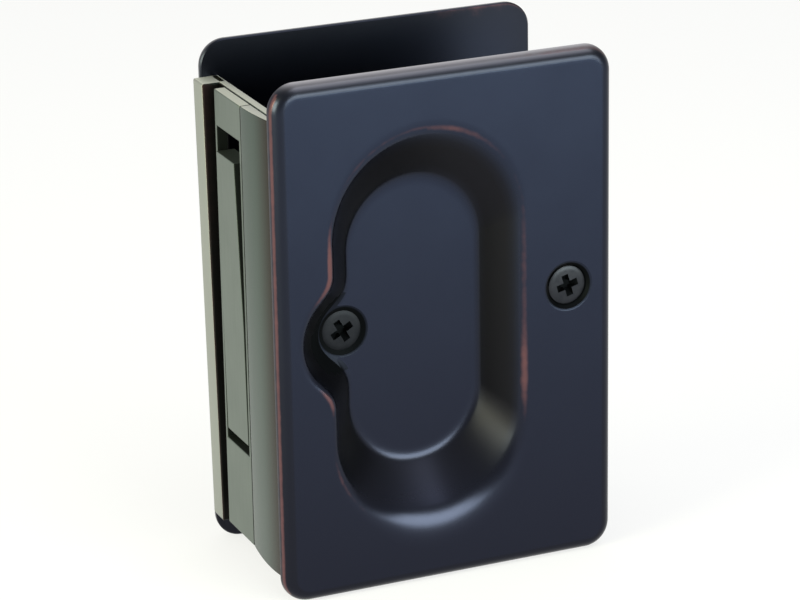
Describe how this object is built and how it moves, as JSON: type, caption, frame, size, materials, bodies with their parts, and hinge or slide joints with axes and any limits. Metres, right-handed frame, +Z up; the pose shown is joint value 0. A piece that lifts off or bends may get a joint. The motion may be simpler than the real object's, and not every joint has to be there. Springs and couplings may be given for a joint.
{
  "type": "pocket door lock",
  "caption": "Adjustable pocket door passage set: dished face plates with oval finger cups, a bowed edge wall and a hinged pull lever in its window, in dark bronze with copper wear.",
  "frame": {"origin": "under the middle of the set, on the level of the plates' lower edges", "axes": "+Z up the plates, +X along the door's face away from its edge, +Y through the door to the rear plate"},
  "size_m": [0.072, 0.0412, 0.105],
  "materials": {
    "dark_bronze": "satin dark oil-rubbed bronze, copper showing on worn rims",
    "edge_bronze": "satin dark oil-rubbed bronze on the edge wall",
    "dark_screw": "dark bronze plated",
    "bright_steel": "plain zinc plated",
    "spring_steel": "blued spring steel",
    "plain_brass": "plain turned brass"
  },
  "bodies": {
    "front_half": {"front_casting": "dark_bronze", "edge_plate": "edge_bronze", "upper_tab_screw": "bright_steel", "lower_tab_screw": "bright_steel", "upper_guide_screw": "bright_steel", "lower_guide_screw": "bright_steel", "clamp_sleeve": "plain_brass", "front_clamp_screw": "dark_screw", "front_wood_screw": "dark_screw", "lever_pin": "bright_steel", "lever_spring": "spring_steel", "spring_screw": "bright_steel"},
    "rear_half": {"rear_casting": "dark_bronze", "rear_clamp_screw": "dark_screw", "rear_wood_screw": "dark_screw"},
    "pull": {"pull_lever": "edge_bronze"}
  },
  "joints": [
    {"name": "door_thickness", "type": "slide", "parent": "front_half", "child": "rear_half", "axis": [0, 1, 0], "range_m": [0, 0.0096]},
    {"name": "pull_swing", "type": "hinge", "parent": "front_half", "child": "pull", "pos_m": [-0.03185, 0.002, 0.0313], "axis": [0, -1, 0], "range_deg": [0, 65], "stiffness_Nm_per_rad": 0.02, "springref_deg": -22.92, "deforming": ["lever_spring"]}
  ]
}
